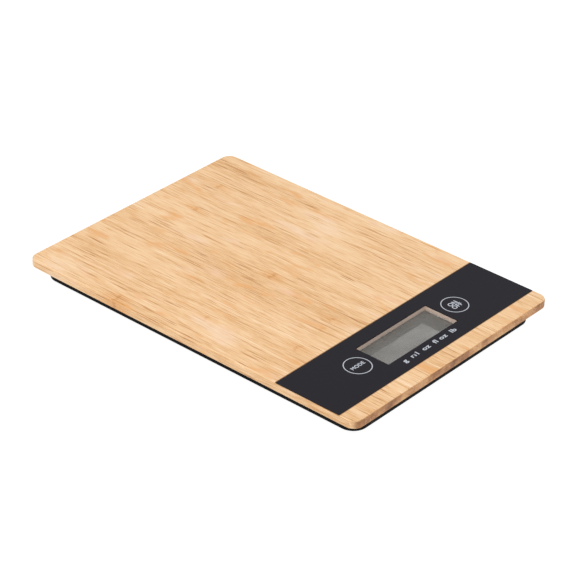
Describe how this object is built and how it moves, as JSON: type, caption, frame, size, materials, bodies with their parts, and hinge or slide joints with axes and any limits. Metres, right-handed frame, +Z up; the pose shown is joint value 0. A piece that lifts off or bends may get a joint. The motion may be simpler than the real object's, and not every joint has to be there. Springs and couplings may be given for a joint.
{
  "type": "kitchen scale",
  "caption": "Slim electronic kitchen scale: a bamboo board with a flush black display panel and ring keys, over a shallow base with load-cell feet.",
  "frame": {"origin": "on the table, under the middle of the board, at the bottom of the rubber foot pads", "axes": "+X to the user's right across the scale, +Y from the display end to the back, +Z up"},
  "size_m": [0.161, 0.228, 0.015],
  "materials": {
    "bamboo": "oiled laminated bamboo",
    "panel_film": "black film printed on its back, satin",
    "adhesive": "matt tape",
    "clear_window": "clear, polished",
    "lcd": "grey reflective display",
    "base_plastic": "black, finely textured",
    "light_plastic": "moulded, off-white",
    "dark_plastic": "moulded, black",
    "circuit_board": "green solder mask",
    "chip_epoxy": "black epoxy",
    "zebra_rubber": "soft silicone",
    "pad_rubber": "matt rubber",
    "steel": "bright zinc-plated",
    "contact_metal": "nickel-plated spring strip",
    "coin_steel": "nickel-plated",
    "gauge_film": "amber film",
    "lead_red": "wire sheath",
    "lead_black": "wire sheath",
    "lead_white": "wire sheath"
  },
  "bodies": {
    "scale": {"platform_board": "bamboo", "panel_adhesive": "adhesive", "panel_overlay": "panel_film", "window_lens": "clear_window", "main_board": "circuit_board", "processor_blob": "chip_epoxy", "lcd_glass": "lcd", "lcd_frame": "light_plastic", "zebra_strip_front": "zebra_rubber", "zebra_strip_back": "zebra_rubber", "base_shell": "base_plastic", "unit_switch_body": "dark_plastic", "tare_switch_body": "dark_plastic", "battery_holder": "dark_plastic", "coin_cell": "coin_steel", "positive_contact": "contact_metal", "negative_contact": "contact_metal", "positive_lead": "lead_red", "negative_lead": "lead_black", "load_cell_front_left": "steel", "strain_gauge_front_left": "gauge_film", "load_cell_carrier_front_left": "light_plastic", "sensor_lead_front_left": "lead_white", "base_screw_front_left": "steel", "load_cell_front_right": "steel", "strain_gauge_front_right": "gauge_film", "load_cell_carrier_front_right": "light_plastic", "sensor_lead_front_right": "lead_white", "base_screw_front_right": "steel", "load_cell_back_left": "steel", "strain_gauge_back_left": "gauge_film", "load_cell_carrier_back_left": "light_plastic", "sensor_lead_back_left": "lead_white", "base_screw_back_left": "steel", "load_cell_back_right": "steel", "strain_gauge_back_right": "gauge_film", "load_cell_carrier_back_right": "light_plastic", "sensor_lead_back_right": "lead_white", "base_screw_back_right": "steel", "board_screw_1": "steel", "board_screw_2": "steel", "board_screw_3": "steel", "board_screw_4": "steel"},
    "foot_front_left": {"foot_cap_front_left": "base_plastic", "foot_pad_front_left": "pad_rubber"},
    "foot_front_right": {"foot_cap_front_right": "base_plastic", "foot_pad_front_right": "pad_rubber"},
    "foot_back_left": {"foot_cap_back_left": "base_plastic", "foot_pad_back_left": "pad_rubber"},
    "foot_back_right": {"foot_cap_back_right": "base_plastic", "foot_pad_back_right": "pad_rubber"},
    "unit_key": {"unit_key_face": "panel_film", "unit_key_plunger": "light_plastic", "unit_switch_stem": "dark_plastic"},
    "tare_key": {"tare_key_face": "panel_film", "tare_key_plunger": "light_plastic", "tare_switch_stem": "dark_plastic"},
    "battery_cover": {"battery_door": "base_plastic"}
  },
  "joints": [
    {"name": "foot_press_front_left", "type": "slide", "parent": "scale", "child": "foot_front_left", "axis": [0, 0, 1], "range_m": [0, 0.0003], "stiffness_N_per_m": 4000, "springref_m": -0.0003},
    {"name": "foot_press_front_right", "type": "slide", "parent": "scale", "child": "foot_front_right", "axis": [0, 0, 1], "range_m": [0, 0.0003], "stiffness_N_per_m": 4000, "springref_m": -0.0003},
    {"name": "foot_press_back_left", "type": "slide", "parent": "scale", "child": "foot_back_left", "axis": [0, 0, 1], "range_m": [0, 0.0003], "stiffness_N_per_m": 4000, "springref_m": -0.0003},
    {"name": "foot_press_back_right", "type": "slide", "parent": "scale", "child": "foot_back_right", "axis": [0, 0, 1], "range_m": [0, 0.0003], "stiffness_N_per_m": 4000, "springref_m": -0.0003},
    {"name": "unit_key_press", "type": "slide", "parent": "scale", "child": "unit_key", "axis": [0, 0, -1], "range_m": [0, 0.0003], "stiffness_N_per_m": 600, "springref_m": -0.0003},
    {"name": "tare_key_press", "type": "slide", "parent": "scale", "child": "tare_key", "axis": [0, 0, -1], "range_m": [0, 0.0003], "stiffness_N_per_m": 600, "springref_m": -0.0003},
    {"name": "battery_door_hinge", "type": "hinge", "parent": "scale", "child": "battery_cover", "pos_m": [0, -0.03175, 0.0023], "axis": [1, 0, 0], "range_deg": [0, 50]}
  ]
}
